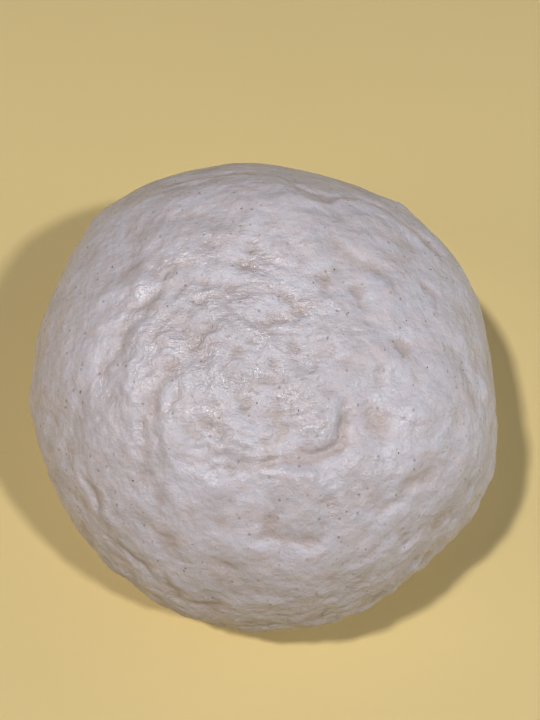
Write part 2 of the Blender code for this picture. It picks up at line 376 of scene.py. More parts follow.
SWELLS = (
    # the knob inside the pinch and the hollows and bulges round it
    Swell(12.5, -29, 4.5, 1.3),
    Swell(27, -29, 4.4, -1.0),
    Swell(28, -38, 4.5, 0.8),
    Swell(9, -44, 6.0, 0.9),
    # the hollow left of it, which is softer and wider on the skin than on the solid
    Swell(-4, -27, 3.2, 0.6),
    Swell(-10, -28, 3.2, -0.5),
    Swell(2.5, -27, 3.0, -0.4),
    # crown
    Swell(-4, -27, 3.2, -1.2),
    Swell(-9, -21, 4.0, 0.5),
    Swell(25, -15, 4.0, 0.6),
    Swell(36, -9, 4.0, -1.2),
    Swell(-10, 33, 9.0, 0.8),
    # left shoulder and side
    Swell(-30, 10, 6.0, 0.63),
    Swell(-44, -3, 5.5, 0.49),
    Swell(-33, -21, 5.5, 0.56),
    Swell(-41, -36, 6.0, 0.49),
    Swell(-21, -38, 5.0, 0.42),
    Swell(-54, 34, 6.0, 0.56),
    Swell(-59, -38, 5.0, -0.77),
    # near side
    Swell(-21, -54, 6.0, 0.49),
    Swell(-27, -62, 5.0, -0.70),
    Swell(-47, -58, 6.0, 0.63),
    Swell(-40, -84, 6.0, 0.63),
    Swell(7, -68, 6.0, 0.77),
    Swell(46, -73, 6.0, 0.63),
    Swell(0, -57, 4.0, -0.56),
    # right side
    Swell(57, -45, 6.0, 0.70),
    Swell(59, -2, 4.6, 1.2),
    Swell(69, -15, 4.0, 0.7),
    Swell(36, 30, 6.0, 0.49),
    # bumps and dents round the rim, counter-clockwise from the far right
    Swell(46.5, 53, 4.5, 1.2),
    Swell(31, 55, 5.0, -0.6),
    Swell(-18, 62, 5.0, -0.6),
    Swell(-54, 49, 5.5, 0.9),
    Swell(-82, 2, 8.0, -1.0),
    Swell(-92, -15, 6.5, 0.8),
    Swell(-87, -50, 8.0, -1.4),
    Swell(-83, -64, 5.0, 0.5),
    Swell(-70, -70, 6.0, -1.2),
    Swell(-67, -80, 5.0, 0.7),
    Swell(-25, -105, 6.0, 0.7),
    Swell(42, -96, 8.0, -1.4),
    Swell(57, -84, 5.5, 0.7),
    Swell(64, -77, 5.0, -0.9),
)

FOLDS = (
    # creases where the far slope turns down
    Fold(6, 41, 24, 39, bow=-4.7, width=2.6, depth=1.00, lip=-0.50),
    Fold(22, 40, 42, 35, bow=3.0, width=3.0, depth=1.25, lip=-0.60),
    Fold(38, 37, 56, 26, bow=1.6, width=3.0, depth=1.10, lip=-0.65),
    Fold(-31, 48, 3, 47, bow=1.0, width=2.6, depth=0.85, lip=-0.40),
    Fold(-32, 43, -17, 40, bow=1.3, width=2.0, depth=0.36),
    # right shoulder
    Fold(21, 18, 35, 10, bow=-1.6, width=2.4, depth=0.68, lip=0.23),
    Fold(23, 25, 30, 19, bow=0.4, width=1.9, depth=0.41),
    Fold(14, 7, 20, 2, bow=-0.4, width=2.0, depth=0.54),
    Fold(43, 12, 51, 6, bow=1.6, width=1.8, depth=0.41, lip=0.18),
    Fold(25, -5, 30, -24, bow=-0.6, width=2.6, depth=0.50),
    Fold(59, -8, 63, -22, bow=-0.8, width=2.2, depth=0.55),
    # left shoulder
    Fold(-21, 7, -37, -3, bow=-1.6, width=2.7, depth=0.68, lip=-0.18),
    Fold(-35, -1, -48, -16, bow=2.2, width=2.4, depth=0.54, lip=-0.14),
    Fold(-15, 0, -27, -15, bow=-6.5, width=2.0, depth=0.41),
    Fold(-11, -3, -23, -8, bow=2.5, width=1.9, depth=0.36),
    Fold(-28, -20, -27, -37, bow=-0.7, width=1.9, depth=0.54, lip=0.18),
    Fold(-26, -46, -29, -58, bow=-0.4, width=1.9, depth=0.36),
    # crown
    Fold(-10, -14, 0, -12, bow=0.9, width=1.6, depth=0.50, lip=-0.19),
    Fold(1, -14, 5, -22, bow=1.0, width=1.6, depth=0.56),
    Fold(-15, -29, -4, -33, bow=-2.0, width=1.9, depth=0.56, lip=-0.25),
    Fold(2, -28, 5, -36, bow=1.0, width=1.8, depth=0.62),
    # the pinch, which curls round two sides of the knob
    Fold(18, -22, 20, -34, bow=0.7, width=2.2, depth=1.20, lip=0.20),
    Fold(21, -31, 10, -39, bow=1.9, width=2.7, depth=1.36, lip=0.31),
    Fold(13, -38, -1, -39, bow=0.6, width=2.2, depth=0.90, lip=0.31),
    # near side, left
    Fold(-57, -43, -51, -58, bow=2.6, width=2.3, depth=0.59, lip=-0.18),
    Fold(-47, -51, -41, -60, bow=-0.5, width=2.2, depth=0.50, lip=-0.18),
    Fold(-49, -66, -36, -78, bow=0.8, width=2.3, depth=0.59, lip=-0.27),
    Fold(-70, -76, -50, -96, bow=0.8, width=2.7, depth=0.54, lip=0.23),
    Fold(-33, -74, -30, -90, bow=1.0, width=2.3, depth=0.50, lip=0.18),
    Fold(-31, -89, -13, -88, bow=-1.8, width=2.3, depth=0.36, lip=0.18),
    Fold(-13, -67, -4, -71, bow=-0.4, width=1.9, depth=0.41),
    # near side, right
    Fold(50, -38, 31, -53, bow=0.8, width=3.2, depth=0.59, lip=0.14),
    Fold(-4, -60, 17, -62, bow=1.0, width=2.3, depth=0.63, lip=-0.23),
    Fold(22, -68, 37, -64, bow=-1.4, width=2.7, depth=0.45),
)

WRINKLES = (
    # the solid's own wrinkles
    RingWrinkles(along=14.0, across=5.5, height=0.26, seed=17.7),
    RingWrinkles(along=8.0, across=3.0, height=0.15, seed=31.3),
    # finer ones, which the solid leaves out
    RingWrinkles(along=4.5, across=2.0, height=0.09, seed=44.9),
)

CRINKLES = (
    Crinkles(size_x=7.5, size_y=3.6, height=1.2, seed=8.4),
    Crinkles(size_x=3.6, size_y=2.0, height=0.40, seed=22.6),
)


@dataclass(frozen=True)
class DoughForm:
    """The ball's form: a sagging dome, its outline, and the relief of its skin.

    Attributes:
        width: Across the ball, without the waves of its outline.
        height: From the foot to the crown.
        girth_height: The height at which the ball is widest.
        tuck_depth: How far below that the dome would close, if the foot didn't cut it off.
        shoulder: How much fuller than an ellipse the shoulder is.
        crown_crowding: How much closer together the points lie near the crown.
        rim_calm: How much of the wrinkles is lost at the rim.
        far_calm: How much more of them is lost on the far side, and less on the near side.
        rim_calm_start, rim_calm_end: Between these angles off the crown this comes in, in radians.
        relief_fade_start, relief_fade_end: Between these angles all relief fades out.
        crease_wander, crease_wander_size: How far the creases wander, and how far apart their turns are.
        crease_wander_seeds: Choose how they wander in x and in y.
    """

    width: float = 138.0
    height: float = 77.0
    girth_height: float = 24.0
    tuck_depth: float = 41.0
    shoulder: float = 0.04
    crown_crowding: float = 0.30
    rim_calm: float = 0.55
    far_calm: float = 0.45
    rim_calm_start: float = 0.20
    rim_calm_end: float = 0.95
    relief_fade_start: float = 1.75
    relief_fade_end: float = 2.30
    crease_wander: float = 1.7
    crease_wander_size: float = 4.5
    crease_wander_seeds: tuple[float, float] = (12.3, 87.6)
    gathering: Gathering = Gathering()
    outline: tuple[OutlineWave, ...] = OUTLINE
    swells: tuple[Swell, ...] = SWELLS
    folds: tuple[Fold, ...] = FOLDS
    brow: Brow = Brow()
    wrinkles: tuple[RingWrinkles, ...] = WRINKLES
    crinkles: tuple[Crinkles, ...] = CRINKLES
    lumps: Lumps = Lumps()

    def angles(self, directions: Array) -> tuple[Array, Array]:
        """Spreads the points of a unit sphere over the ball, closer together near the crown.

        Args:
            directions: Unit vectors.

        Returns:
            The angle off the crown and the angle round it, in radians.
        """
        even_polar = np.arccos(np.clip(directions[:, 2], -1.0, 1.0))
        polar = even_polar - self.crown_crowding * np.sin(even_polar)
        return polar, np.arctan2(directions[:, 1], directions[:, 0])

    def chart(self, polar: Array, around: Array) -> tuple[Array, Array]:
        """Places on the skin's chart, from the angles off the crown and round it."""
        return self.width / 2 * polar * np.cos(around), self.width / 2 * polar * np.sin(around)

    def smooth_ball(self, polar: Array, around: Array) -> Array:
        """Points of the ball without its relief.

        Args:
            polar, around: The angles off the crown and round it.

        Returns:
            The points.
        """
        upper = polar < np.pi / 2
        fullness = np.where(upper, 1.0 + self.shoulder * np.sin(2.0 * polar) ** 2, 1.0)
        outline = 1.0 + sum(wave.reach(around) for wave in self.outline)
        radius = self.width / 2 * np.sin(polar) * fullness * outline
        reach = np.where(upper, (self.height - self.girth_height) * fullness, self.tuck_depth)
        height = self.girth_height + reach * np.cos(polar)
        return np.stack([radius * np.cos(around), radius * np.sin(around), height], axis=-1)

    def outward(self, polar: Array, around: Array) -> Array:
        """The direction in which the skin faces.

        Args:
            polar, around: The angles off the crown and round it.

        Returns:
            Unit vectors.
        """
        reach = np.where(polar < np.pi / 2, self.height - self.girth_height, self.tuck_depth)
        flat = np.sin(polar) / (self.width / 2)
        facing = np.stack([flat * np.cos(around), flat * np.sin(around), np.cos(polar) / reach], axis=-1)
        return facing / np.linalg.norm(facing, axis=-1, keepdims=True)

    def _wandered(self, x: Array, y: Array, seed: float) -> Array:
        """How far the creases wander in one direction at each place on the chart."""
        size = self.crease_wander_size
        return self.crease_wander * noise_at(x / size, y / size, np.full_like(x, seed))

    def relief(self, polar: Array, around: Array) -> Array:
        """How far the skin stands out from the smooth ball, folds and wrinkles together.

        Args:
            polar, around: The angles off the crown and round it.

        Returns:
            The height at each place.
        """
        x, y = self.chart(polar, around)
        calm = self.rim_calm * (1.0 + self.far_calm * np.sin(around))
        tightness = 1.0 - calm * smooth_step(self.rim_calm_start, self.rim_calm_end, polar)
        sizes = self.wrinkles + self.crinkles + (self.lumps,)
        wrinkled = sum(size.relief(x, y, self.gathering) for size in sizes)
        wander_x, wander_y = (self._wandered(x, y, seed) for seed in self.crease_wander_seeds)
        creased = sum(fold.relief(x + wander_x, y + wander_y) for fold in self.folds)
        shaped = creased + sum(shape.relief(x, y) for shape in self.swells + (self.brow,))
        fade = 1.0 - smooth_step(self.relief_fade_start, self.relief_fade_end, polar)
        return fade * (wrinkled * tightness + shaped)


# ---------------------------------------------------------------- finishes


@dataclass(frozen=True)
class Ramp:
    """An S-shaped change from one value to another.

    Attributes:
        low, high: Where it starts and ends.
        first, last: What it gives up to low, and from high on.
    """

    low: float
    high: float
    first: float = 0.0
    last: float = 1.0


class ShaderSketch:
    """A material's node tree, with short calls that add and join its nodes."""

    # the colour sockets of a Mix node, which share their names with its other sockets
    FIRST_COLOUR = 6
    SECOND_COLOUR = 7
    MIXED_COLOUR = 2

    def __init__(self, name: str) -> None:
        """Starts a material with its Principled shader.

        Args:
            name: The material's name.
        """
        self.material = bpy.data.materials.new(name)
        self.material.use_nodes = True
        self.tree = self.material.node_tree
        self.shader = self.tree.nodes["Principled BSDF"]

    def add(self, kind: str, **settings: Any) -> bpy.types.Node:
        """Adds a node.

        Args:
            kind: The node's type, without its ShaderNode prefix.
            settings: Values of its properties.

        Returns:
            The node.
        """
        node = self.tree.nodes.new("ShaderNode" + kind)
        for key, value in settings.items():
            setattr(node, key, value)
        return node

    def feed(self, target: Socket, value: Any) -> None:
        """Joins a socket to another node's output, or sets it to a plain value.

        Args:
            target: The socket.
            value: The output or the value.
        """
        if isinstance(value, bpy.types.NodeSocket):
            self.tree.links.new(value, target)
        else:
            target.default_value = value

    def dress(self, **values: Any) -> None:
        """Feeds the shader's own sockets, named with _ for each space."""
        for name, value in values.items():
            self.feed(self.shader.inputs[name.replace("_", " ")], value)

    def place(self) -> Socket:
        """The point on the piece, in metres."""
        return self.add("TexCoord").outputs["Object"]

    def attribute(self, name: str, output: str = "Fac") -> Socket:
        """An attribute of the piece's own mesh."""
        return self.add("Attribute", attribute_name=name).outputs[output]

    def stretched(self, vector: Socket, sizes: tuple[float, float, float]) -> Socket:
        """Counts a place in cells.

        Args:
            vector: The place, in metres.
            sizes: The cell's sizes, in millimetres.

        Returns:
            The place in cells.
        """
        mapping = self.add("Mapping")
        self.feed(mapping.inputs["Vector"], vector)
        mapping.inputs["Scale"].default_value = [1.0 / (size * MM) for size in sizes]
        return mapping.outputs["Vector"]

    def noise(self, vector: Socket, detail: float = 1.0, roughness: float = 0.5) -> Socket:
        """Soft noise, one lump to each cell.

        Args:
            vector: The place, in cells.
            detail, roughness: How many finer sizes it holds, and how strong these are.

        Returns:
            A value from 0 to 1.
        """
        texture = self.add("TexNoise")
        self.feed(texture.inputs["Vector"], vector)
        texture.inputs["Scale"].default_value = 1.0
        texture.inputs["Detail"].default_value = detail
        texture.inputs["Roughness"].default_value = roughness
        return texture.outputs["Fac"]

    def ranged(self, value: Socket, ramp: Ramp) -> Socket:
        """Puts a value through a ramp.

        Args:
            value: The value.
            ramp: The ramp.

        Returns:
            What the ramp gives for it.
        """
        node = self.add("MapRange", interpolation_type="SMOOTHSTEP")
        self.feed(node.inputs["Value"], value)
        ends = {"From Min": ramp.low, "From Max": ramp.high, "To Min": ramp.first, "To Max": ramp.last}
        for name, number in ends.items():
            node.inputs[name].default_value = number
        return node.outputs["Result"]

    def math(self, operation: str, first: Any, second: Any) -> Socket:
        """Puts two values together.

        Args:
            operation: How, as the Math node names it.
            first, second: Values or outputs.

        Returns:
            The result.
        """
        node = self.add("Math", operation=operation)
        self.feed(node.inputs[0], first)
        self.feed(node.inputs[1], second)
        return node.outputs["Value"]

    def mixed(self, factor: Socket, first: Any, second: Any) -> Socket:
        """Blends two colours.

        Args:
            factor: The second colour's share.
            first, second: Colours or outputs.

        Returns:
            The colour between them.
        """
        node = self.add("Mix", data_type="RGBA")
        self.feed(node.inputs["Factor"], factor)
        self.feed(node.inputs[self.FIRST_COLOUR], first)
        self.feed(node.inputs[self.SECOND_COLOUR], second)
        return node.outputs[self.MIXED_COLOUR]

    def bump(self, height: Socket, depth: float, strength: Socket, below: Socket | None = None) -> Socket:
        """Relief too fine for the mesh.

        Args:
            height: Its height, from 0 to 1.
            depth: How deep it is, in millimetres.
            strength: Its strength at each place, from 0 to 1.
            below: The relief that it goes on top of.

        Returns:
            The bent normal.
        """
        node = self.add("Bump")
        self.feed(node.inputs["Strength"], strength)
        node.inputs["Distance"].default_value = depth * MM
        self.feed(node.inputs["Height"], height)
        if below is not None:
            self.feed(node.inputs["Normal"], below)
        return node.outputs["Normal"]


@dataclass(frozen=True)
class Patches:
    """Soft, uneven patches.

    Attributes:
        size: Their sizes, in millimetres.
        ramp: How strong they are for each value of the noise that draws them.
        detail: How many finer sizes fray them.
    """

    size: tuple[float, float, float]
    ramp: Ramp
    detail: float = 2.0

    def drawn(self, sketch: ShaderSketch, vector: Socket) -> Socket:
        """How strong the patches are at a place in metres."""
        lumps = sketch.noise(sketch.stretched(vector, self.size), detail=self.detail)
        return sketch.ranged(lumps, self.ramp)


@dataclass(frozen=True)
class Spots:
    """Soft round spots in some of the cells of a scatter.

    Attributes:
        cell: How far apart the spots lie, in millimetres.
        share: How strongly the darkest of them show.
        core, edge: The radii of a spot's even core and of its outer edge, in cells.
        chosen: How strong a spot is for its cell's own number.
    """

    cell: float
    share: float
    core: float = 0.09
    edge: float = 0.23
    chosen: Ramp = Ramp(0.40, 0.95)

    def drawn(self, sketch: ShaderSketch, vector: Socket) -> Socket:
        """Draws the spots.

        Args:
            sketch: The material.
            vector: The place, in metres.

        Returns:
            How strongly they show there.
        """
        cells = sketch.add("TexVoronoi")
        sketch.feed(cells.inputs["Vector"], sketch.stretched(vector, (self.cell,) * 3))
        cells.inputs["Scale"].default_value = 1.0
        spot = sketch.ranged(cells.outputs["Distance"], Ramp(self.core, self.edge, self.share, 0.0))
        own = sketch.add("SeparateColor")
        sketch.feed(own.inputs["Color"], cells.outputs["Color"])
        return sketch.math("MULTIPLY", spot, sketch.ranged(own.outputs["Red"], self.chosen))


@dataclass(frozen=True)
class FineRelief:
    """Relief of one kind that is too fine for the mesh.

    Attributes:
        size: Its sizes, in millimetres.
        depth: How deep it is, in millimetres.
        detail, roughness: How many finer sizes it holds, and how strong these are.
    """

    size: tuple[float, float, float]
    depth: float
    detail: float = 1.0
    roughness: float = 0.5

    def drawn(
        self, sketch: ShaderSketch, vector: Socket, strength: Socket, below: Socket | None = None
    ) -> Socket:
        """The normal that it bends, at a place in metres, on top of the relief below."""
        height = sketch.noise(sketch.stretched(vector, self.size), self.detail, self.roughness)
        return sketch.bump(height, self.depth, strength, below)


@dataclass(frozen=True)
class DoughFinish:
    """Raw dough: a moist, satin, faintly see-through skin with stretched strands and bran in it.

    Each tint and spread is read at the gathering, 0 on the sides and 1 on the crown, apart from the
    hollows' tint, which is read at the depth of a hollow. The lighter crown colour is painted sheen,
    and the darker hollow colour is painted shade.

    Attributes:
        streaks: Streaks along the rings, in the hollows' painted shade colour.
        flakes, specks: Coarse and fine bran under the skin.
        roughness: The shader's roughness, in drier and moister patches.
        see_through: The share of light that goes into the dough.
        see_through_depth: How far red, green and blue light go in, in see_through_scale millimetres.
        gloss: The shine of the dough itself.
        film: Patches of moist film on it, and film_roughness is how blurred their glints are.
        fine_spread: How strong strands and grain are.
    """

    pale: Color = (0.655, 0.617, 0.641, 1.0)
    # painted sheen: the crown's lighter colour stands in for the lamps' sheen on top of the ball
    crown_sheen: Color = (0.691, 0.649, 0.667, 1.0)
    # painted shade: the darker, warmer colour that hollows and grooves get, standing in for the shade that
    # falls in them
    hollow_shade: Color = (0.550, 0.462, 0.422, 1.0)
    wet: Color = (0.595, 0.549, 0.552, 1.0)
    blush: Color = (0.680, 0.610, 0.612, 1.0)
    bran: Color = (0.300, 0.235, 0.190, 1.0)
    # how much painted sheen the crown gets, by how gathered the skin is
    crown_sheen_tint: Ramp = Ramp(0.0, 1.0)
    wet_patches: Patches = Patches((14.0, 10.0, 12.0), Ramp(0.42, 0.64, 0.0, 0.75))
    blushes: Patches = Patches((7.0, 4.5, 6.0), Ramp(0.46, 0.66, 0.0, 0.70))
    streaks: Patches = Patches((6.0, 6.0, 1.6), Ramp(0.30, 0.75, 0.0, 0.20), detail=1.0)
    # how much painted shade a hollow gets, by its depth
    hollow_shade_tint: Ramp = Ramp(0.03, 0.75, 0.0, 0.72)
    flakes: Spots = Spots(cell=2.4, share=0.52)
    specks: Spots = Spots(cell=1.1, share=0.25)
    roughness: Patches = Patches((9.0, 9.0, 9.0), Ramp(0.35, 0.65, 0.40, 0.56))
    see_through: float = 0.30
    see_through_depth: tuple[float, float, float] = (1.0, 0.78, 0.64)
    see_through_scale: float = 2.0
    gloss: float = 0.60
    film: Patches = Patches((9.0, 5.0, 6.0), Ramp(0.40, 0.62))
    film_spread: Ramp = Ramp(0.2, 1.0, 0.20, 0.90)
    film_roughness: float = 0.24
    pebbles: FineRelief = FineRelief((1.9, 1.9, 1.9), depth=0.56, detail=3.0, roughness=0.6)
    pebble_spread: Ramp = Ramp(0.0, 0.8, 0.80, 1.0)
    strands: FineRelief = FineRelief((3.2, 3.2, 0.9), depth=0.14, detail=3.0, roughness=0.6)
    ripples: FineRelief = FineRelief((4.0, 1.2, 3.0), depth=0.30, detail=2.0)
    grain: FineRelief = FineRelief((0.50, 0.50, 0.50), depth=0.20)
    fine_spread: Ramp = Ramp(0.35, 1.0, 0.34, 1.0)

    def material(self) -> bpy.types.Material:
        """Builds the dough's material.

        Returns:
            The material.
        """
        sketch = ShaderSketch("raw_dough")
        place = sketch.place()
        rings = sketch.attribute(DoughSkin.RINGS, "Vector")
        hollow_shade = sketch.attribute(DoughSkin.HOLLOW_SHADE)
        colour = self._colour(sketch, place, rings, hollow_shade)
        roughness = self.roughness.drawn(sketch, place)
        normal = self._normal(sketch, place, rings)
        moist = self.film.drawn(sketch, place)
        spread = sketch.ranged(sketch.attribute(DoughSkin.GATHERED), self.film_spread)
        sketch.dress(
            Base_Color=colour,
            Roughness=roughness,
            Normal=normal,
            Coat_Normal=normal,
            Coat_Weight=sketch.math("MULTIPLY", moist, spread),
            Subsurface_Weight=self.see_through,
            Subsurface_Radius=self.see_through_depth,
            Subsurface_Scale=self.see_through_scale * MM,
            Specular_IOR_Level=self.gloss,
            Coat_Roughness=self.film_roughness,
        )
        return sketch.material

    def _colour(self, sketch: ShaderSketch, place: Socket, rings: Socket, hollow_shade: Socket) -> Socket:
        """Pale on the backs, lighter on the crown with painted sheen, darker in the hollows with painted
        shade, with moist and rosier patches, streaks and bran.

        Args:
            sketch: The material.
            place: The place on the dough, in metres.
            rings: The place among the rings, in metres.
            hollow_shade: How deep the place lies in a hollow, from 0 to 1, which sets its painted shade.

        Returns:
            The colour.
        """
        # painted sheen: the skin turns to the lighter crown colour towards the gathered crown
        crown_sheen_share = sketch.ranged(sketch.attribute(DoughSkin.GATHERED), self.crown_sheen_tint)
        colour = sketch.mixed(crown_sheen_share, self.pale, self.crown_sheen)
        colour = sketch.mixed(self.wet_patches.drawn(sketch, place), colour, self.wet)
        colour = sketch.mixed(self.blushes.drawn(sketch, place), colour, self.blush)
        # streaks along the rings take the hollows' painted shade colour
        colour = sketch.mixed(self.streaks.drawn(sketch, rings), colour, self.hollow_shade)
        # painted shade: hollows and grooves are darkened and warmed by their depth
        colour = sketch.mixed(sketch.ranged(hollow_shade, self.hollow_shade_tint), colour, self.hollow_shade)
        bran = sketch.math("MAXIMUM", self.flakes.drawn(sketch, place), self.specks.drawn(sketch, place))
        return sketch.mixed(bran, colour, self.bran)

    def _normal(self, sketch: ShaderSketch, place: Socket, rings: Socket) -> Socket:
        """Pebbled skin, strands along the rings, ripples, and grain.

        Args:
            sketch: The material.
            place: The place on the dough, in metres.
            rings: The place among the rings, in metres.

        Returns:
            The normal, bent by all of them.
        """
        fine = sketch.ranged(sketch.attribute(DoughSkin.GATHERED), self.fine_spread)
        pebbled = sketch.ranged(sketch.attribute(DoughSkin.GATHERED), self.pebble_spread)
        normal = self.pebbles.drawn(sketch, place, pebbled)
        normal = self.strands.drawn(sketch, rings, fine, below=normal)
        normal = self.ripples.drawn(sketch, place, sketch.attribute(DoughSkin.GATHERED), below=normal)
        return self.grain.drawn(sketch, place, fine, below=normal)


@dataclass(frozen=True)
class BranFinish:
    """Flakes of bran, dark through the moist dough over them."""

    light: Color = (0.330, 0.265, 0.215, 1.0)
    dark: Color = (0.130, 0.090, 0.065, 1.0)
    blotches: Patches = Patches((2.0, 2.0, 2.0), Ramp(0.38, 0.62), detail=1.0)
    roughness: float = 0.42
    film: float = 0.2
    film_roughness: float = 0.25

    def material(self) -> bpy.types.Material:
        """Builds the bran's material.

        Returns:
            The material.
        """
        sketch = ShaderSketch("wheat_bran")
        colour = sketch.mixed(self.blotches.drawn(sketch, sketch.place()), self.light, self.dark)
        sketch.dress(Base_Color=colour, Roughness=self.roughness)
        sketch.dress(Coat_Weight=self.film, Coat_Roughness=self.film_roughness)
        return sketch.material


@dataclass(frozen=True)
class FloorFinish:
    """A plain pale floor, with the faintest clouds in it."""

    colour: Color = (0.76, 0.62, 0.34, 1.0)
    roughness: float = 0.75
    gloss: float = 0.3
    cloud_sizes: tuple[float, float, float] = (90.0, 90.0, 90.0)
    cloud_detail: float = 3.0
    cloud_shade: float = 0.97

    def material(self) -> bpy.types.Material:
        """Builds the floor's material.

        Returns:
            The material.
        """
        sketch = ShaderSketch("pale_floor")
        clouds = sketch.noise(sketch.stretched(sketch.place(), self.cloud_sizes), self.cloud_detail)
        shade = tuple(self.cloud_shade * channel for channel in self.colour[:3]) + (1.0,)
        colour = sketch.mixed(clouds, self.colour, shade)
        sketch.dress(Base_Color=colour, Roughness=self.roughness, Specular_IOR_Level=self.gloss)
        return sketch.material


# ---------------------------------------------------------------- pieces


def new_object(name: Piece, shape: bmesh.types.BMesh) -> bpy.types.Object:
    """Turns a shape into an object at the origin.

    Args:
        name: The object's name.
        shape: Its shape, which is freed.

    Returns:
        The object, smooth shaded.
    """
    mesh = bpy.data.meshes.new(name.value)
    shape.to_mesh(mesh)
    shape.free()
    mesh.shade_smooth()
    piece = bpy.data.objects.new(name.value, mesh)
    bpy.context.scene.collection.objects.link(piece)
    return piece


@dataclass
class DoughSkin:
    """The ball's skin, with the solid's form and the fine wrinkles that the solid leaves out.

    Attributes:
        form: The ball's form.
        finish: The dough's finish.
        cuts: Cuts across each side of the cube that becomes the skin.
        foot_snap: Points this near the floor are moved onto it, in millimetres.
        full_shade_depth: A groove this much deeper than the skin round it gets the full painted shade.
        shade_reach: Rounds of averaging that tell what the skin round a point is, for the painted shade.
        disc_middle: The middle of the crown's gathered disc, on the chart.
        disc_full, disc_end: Distances from it up to which the skin is fully gathered, and gathered at all.
    """

    form: DoughForm
    finish: DoughFinish
    cuts: int = 133
    foot_snap: float = 0.2
    full_shade_depth: float = 0.85
    shade_reach: int = 70
    disc_middle: tuple[float, float] = (-5.0, -6.0)
    disc_full: float = 10.0
    disc_end: float = 47.0

    RINGS = "ring_place"
    # the attribute that sets the painted shade in the hollows
    HOLLOW_SHADE = "hollow_shade"
    GATHERED = "gathered"
    RELIEF = "relief"
    RING_SEED = 17.7
    FOOT_EDGE_ANGLE = math.radians(60)
    CUT_SLACK = 1e-7

    def build(self, solid: str) -> bpy.types.Object:
        """Makes the skin where the solid stands.

        Args:
            solid: The node that it stands for.

        Returns:
            The finished piece.
        """
        shape = self._sphere()
        self._shape_skin(shape)
        self._press_flat(shape)
        self._centre_on(shape, solid)
        piece = new_object(Piece.SKIN, shape)
        self._mark_hollow_shade(piece.data)
        piece.data.set_sharp_from_angle(angle=self.FOOT_EDGE_ANGLE)
        piece.data.materials.append(self.finish.material())
        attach(piece, Part.BODY.value)
        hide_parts(solid)
        return piece

    def _sphere(self) -> bmesh.types.BMesh:
        """Makes a cube from -1 to 1, cut into an even grid of squares.

        Returns:
            The cube.
        """
        shape = bmesh.new()
        bmesh.ops.create_cube(shape, size=2.0)
        bmesh.ops.subdivide_edges(shape, edges=shape.edges[:], cuts=self.cuts, use_grid_fill=True)
        return shape

    def _gathered(self, x: Array, y: Array) -> Array:
        """How far the skin is gathered at each place on the chart, from 0 to 1."""
        middle_x, middle_y = self.disc_middle
        return 1.0 - smooth_step(self.disc_full, self.disc_end, np.hypot(x - middle_x, y - middle_y))

    def _shape_skin(self, shape: bmesh.types.BMesh) -> None:
        """Moves the grid's points onto the skin and notes each point's relief, ring and gathering.

        Args:
            shape: The grid, which is changed.
        """
        corners = np.array([vertex.co for vertex in shape.verts])
        even = np.tan(corners * math.pi / 4)
        polar, around = self.form.angles(even / np.linalg.norm(even, axis=1, keepdims=True))
        relief = self.form.relief(polar, around)
        points = self.form.smooth_ball(polar, around) + self.form.outward(polar, around) * relief[:, None]
        x, y = self.form.chart(polar, around)
        rings = np.stack(self.form.gathering.swayed(x, y, self.RING_SEED), axis=-1)
        gathered_layer = shape.verts.layers.float.new(self.GATHERED)
        ring_layer = shape.verts.layers.float_vector.new(self.RINGS)
        relief_layer = shape.verts.layers.float.new(self.RELIEF)
        notes = zip(shape.verts, points * MM, relief * MM, rings * MM, self._gathered(x, y))
        for vertex, point, height, ring, gathered in notes:
            vertex.co = point
            vertex[gathered_layer] = gathered
            vertex[relief_layer] = height
            vertex[ring_layer] = ring

    def _press_flat(self, shape: bmesh.types.BMesh) -> None:
        """Cuts the rounded under side off level with the floor and closes it with the flat foot.

        Args:
            shape: The skin, which is changed.
        """
        for vertex in shape.verts:
            if abs(vertex.co.z) < self.foot_snap * MM:
                vertex.co.z = 0.0
        everything = shape.verts[:] + shape.edges[:] + shape.faces[:]
        floor = {"plane_co": (0, 0, 0), "plane_no": (0, 0, 1)}
        cut = bmesh.ops.bisect_plane(shape, geom=everything, dist=self.CUT_SLACK, clear_inner=True, **floor)
        rim = [edge for edge in cut["geom_cut"] if isinstance(edge, bmesh.types.BMEdge)]
        foot = bmesh.ops.edgeloop_fill(shape, edges=rim)["faces"]
        bmesh.ops.triangulate(shape, faces=foot)
        bmesh.ops.recalc_face_normals(shape, faces=shape.faces)

    def _centre_on(self, shape: bmesh.types.BMesh, solid: str) -> None:
        """Moves the shape sideways until the middle of its box is the middle of the solid's.

        Args:
            shape: The skin, which is moved.
            solid: The node that it stands for.
        """
        low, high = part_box(solid)
        points = np.array([vertex.co for vertex in shape.verts])
        off = np.array((low + high) / 2) - (points.min(axis=0) + points.max(axis=0)) / 2
        bmesh.ops.translate(shape, vec=(off[0], off[1], 0.0), verts=shape.verts)

    def _mark_hollow_shade(self, mesh: bpy.types.Mesh) -> None:
        """Writes how far each point lies below the skin round it, from 0 on the backs to 1 in the grooves,
        which sets the painted shade in its colour.

        Args:
            mesh: The skin's mesh, whose noted relief is used up.
        """
        count = len(mesh.vertices)
        height = np.empty(count, np.float32)
        mesh.attributes[self.RELIEF].data.foreach_get("value", height)
        mesh.attributes.remove(mesh.attributes[self.RELIEF])
        ends = np.empty(len(mesh.edges) * 2, np.int32)
        mesh.edges.foreach_get("vertices", ends)
        first, second = ends.reshape(-1, 2).T
        neighbours = np.bincount(ends, minlength=count)
        level = height.astype(float)
        for _ in range(self.shade_reach):
            near = np.bincount(first, level[second], count) + np.bincount(second, level[first], count)
            level = (level + near) / (1.0 + neighbours)
        hollow_shade = np.clip((level - height) / (self.full_shade_depth * MM), 0.0, 1.0).astype(np.float32)
        mesh.attributes.new(self.HOLLOW_SHADE, "FLOAT", "POINT").data.foreach_set("value", hollow_shade)


